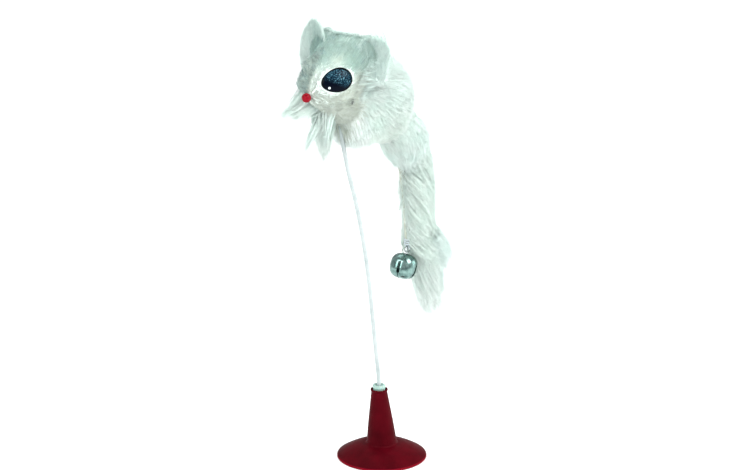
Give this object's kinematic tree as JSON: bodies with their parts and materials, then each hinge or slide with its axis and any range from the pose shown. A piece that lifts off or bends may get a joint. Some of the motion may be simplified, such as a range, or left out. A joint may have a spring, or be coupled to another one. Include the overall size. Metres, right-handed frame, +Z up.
{
  "type": "fur toy mouse on a sprung stem with suction cup",
  "caption": "Cat toy: a white fur mouse with a bell on its tail, on a thin springy stem that stands in a dark red rubber suction cup.",
  "frame": {"origin": "on the resting plane, under the middle of the whole toy's box; the cup's axis is 6.7 mm towards +X from it", "axes": "+Z up; the mouse faces -X and its left side is -Y"},
  "size_m": [0.094, 0.0472, 0.2111],
  "materials": {
    "red_rubber": "moulded dark red rubber with a satin sheen",
    "mint_plastic": "pale mint-white moulded plastic",
    "white_coating": "smooth white plastic coating on spring wire",
    "core_plastic": "plain moulded plastic, hidden under the pelt",
    "eye_plastic": "very glossy blue-black",
    "red_bead": "glossy red",
    "short_fur": "short dense cream-white fur",
    "long_fur": "long soft white fur with a cool tint",
    "leather_edge": "bare cut edge of the pelt",
    "clear_thread": "clear-white nylon thread",
    "nickel": "bright nickel plate",
    "steel_wire": "plated steel wire",
    "steel_ball": "plain steel ball"
  },
  "bodies": {
    "base": {"suction_cup": "red_rubber", "stem_plug": "mint_plastic", "stem_1": "white_coating"},
    "stem_length_2": {"stem_2": "white_coating"},
    "stem_length_3": {"stem_3": "white_coating"},
    "stem_length_4": {"stem_4": "white_coating"},
    "stem_length_5": {"stem_5": "white_coating"},
    "stem_length_6": {"stem_6": "white_coating"},
    "stem_length_7": {"stem_7": "white_coating"},
    "mouse": {"stem_8": "white_coating", "core_left": "core_plastic", "core_right": "core_plastic", "eye_left": "eye_plastic", "eye_right": "eye_plastic", "nose_bead": "red_bead", "face_mask": "short_fur", "body_pelt": "long_fur"},
    "left_ear": {"ear_left": "long_fur"},
    "right_ear": {"ear_right": "long_fur"},
    "tail_length_1": {"tail_fur_1": "long_fur", "tail_strip_1": "leather_edge"},
    "tail_length_2": {"tail_fur_2": "long_fur", "tail_strip_2": "leather_edge"},
    "tail_length_3": {"tail_fur_3": "long_fur", "tail_strip_3": "leather_edge", "bell_tie": "clear_thread"},
    "tail_length_4": {"tail_fur_4": "long_fur"},
    "bell": {"bell_shell": "nickel", "bell_loop": "steel_wire"},
    "clapper": {"bell_clapper": "steel_ball"}
  },
  "joints": [
    {"name": "stem_sway_1", "type": "hinge", "parent": "base", "child": "stem_length_2", "pos_m": [0.00412, 0, 0.041], "axis": [0, 1, 0], "range_deg": [-6, 6], "stiffness_Nm_per_rad": 0.3, "springref_deg": 0.07},
    {"name": "stem_lean_1", "type": "hinge", "parent": "stem_length_2", "child": "stem_length_3", "pos_m": [0.00152, 0, 0.0585], "axis": [1, 0, 0], "range_deg": [-8, 8], "stiffness_Nm_per_rad": 0.3},
    {"name": "stem_sway_2", "type": "hinge", "parent": "stem_length_3", "child": "stem_length_4", "pos_m": [-0.00089, 0, 0.076], "axis": [0, 1, 0], "range_deg": [-6, 6], "stiffness_Nm_per_rad": 0.3, "springref_deg": -0.14},
    {"name": "stem_lean_2", "type": "hinge", "parent": "stem_length_4", "child": "stem_length_5", "pos_m": [-0.00358, 0, 0.0935], "axis": [1, 0, 0], "range_deg": [-8, 8], "stiffness_Nm_per_rad": 0.3},
    {"name": "stem_sway_3", "type": "hinge", "parent": "stem_length_5", "child": "stem_length_6", "pos_m": [-0.00728, 0, 0.111], "axis": [0, 1, 0], "range_deg": [-6, 6], "stiffness_Nm_per_rad": 0.3, "springref_deg": -0.41},
    {"name": "stem_lean_3", "type": "hinge", "parent": "stem_length_6", "child": "stem_length_7", "pos_m": [-0.01202, 0, 0.1285], "axis": [1, 0, 0], "range_deg": [-8, 8], "stiffness_Nm_per_rad": 0.3},
    {"name": "stem_sway_4", "type": "hinge", "parent": "stem_length_7", "child": "mouse", "pos_m": [-0.01767, 0, 0.146], "axis": [0, 1, 0], "range_deg": [-6, 6], "stiffness_Nm_per_rad": 0.3, "springref_deg": -0.85},
    {"name": "left_ear_flap", "type": "hinge", "parent": "mouse", "child": "left_ear", "pos_m": [-0.0198, -0.016, 0.1975], "axis": [0, 1, 0], "range_deg": [-15, 15], "stiffness_Nm_per_rad": 0.003},
    {"name": "right_ear_flap", "type": "hinge", "parent": "mouse", "child": "right_ear", "pos_m": [-0.0198, 0.016, 0.1975], "axis": [0, 1, 0], "range_deg": [-15, 15], "stiffness_Nm_per_rad": 0.003},
    {"name": "tail_swing_1", "type": "hinge", "parent": "mouse", "child": "tail_length_1", "pos_m": [0.02766, 0, 0.147], "axis": [0, 1, 0], "range_deg": [-35, 5], "stiffness_Nm_per_rad": 0.01, "springref_deg": -0.77},
    {"name": "tail_sway_2", "type": "hinge", "parent": "tail_length_1", "child": "tail_length_2", "pos_m": [0.03258, 0, 0.13], "axis": [1, 0, 0], "range_deg": [-25, 25], "stiffness_Nm_per_rad": 0.01},
    {"name": "tail_swing_3", "type": "hinge", "parent": "tail_length_2", "child": "tail_length_3", "pos_m": [0.03402, 0, 0.108], "axis": [0, 1, 0], "range_deg": [-25, 5], "stiffness_Nm_per_rad": 0.01, "springref_deg": 0.94},
    {"name": "tail_sway_4", "type": "hinge", "parent": "tail_length_3", "child": "tail_length_4", "pos_m": [0.03819, 0, 0.086], "axis": [1, 0, 0], "range_deg": [-20, 20], "stiffness_Nm_per_rad": 0.01},
    {"name": "bell_swing", "type": "hinge", "parent": "tail_length_3", "child": "bell", "pos_m": [0.0253, 0, 0.097], "axis": [0, 1, 0], "range_deg": [0, 40]},
    {"name": "clapper_roll", "type": "hinge", "parent": "bell", "child": "clapper", "pos_m": [0.02207, 0, 0.08957], "axis": [0, 1, 0], "range_deg": [-50, 50]}
  ],
  "couplings": [
    {"joint": "stem_sway_2", "follows": "stem_sway_1", "ratio": 1},
    {"joint": "stem_sway_3", "follows": "stem_sway_1", "ratio": 1},
    {"joint": "stem_sway_4", "follows": "stem_sway_1", "ratio": 1},
    {"joint": "stem_lean_2", "follows": "stem_lean_1", "ratio": 1},
    {"joint": "stem_lean_3", "follows": "stem_lean_1", "ratio": 1}
  ]
}
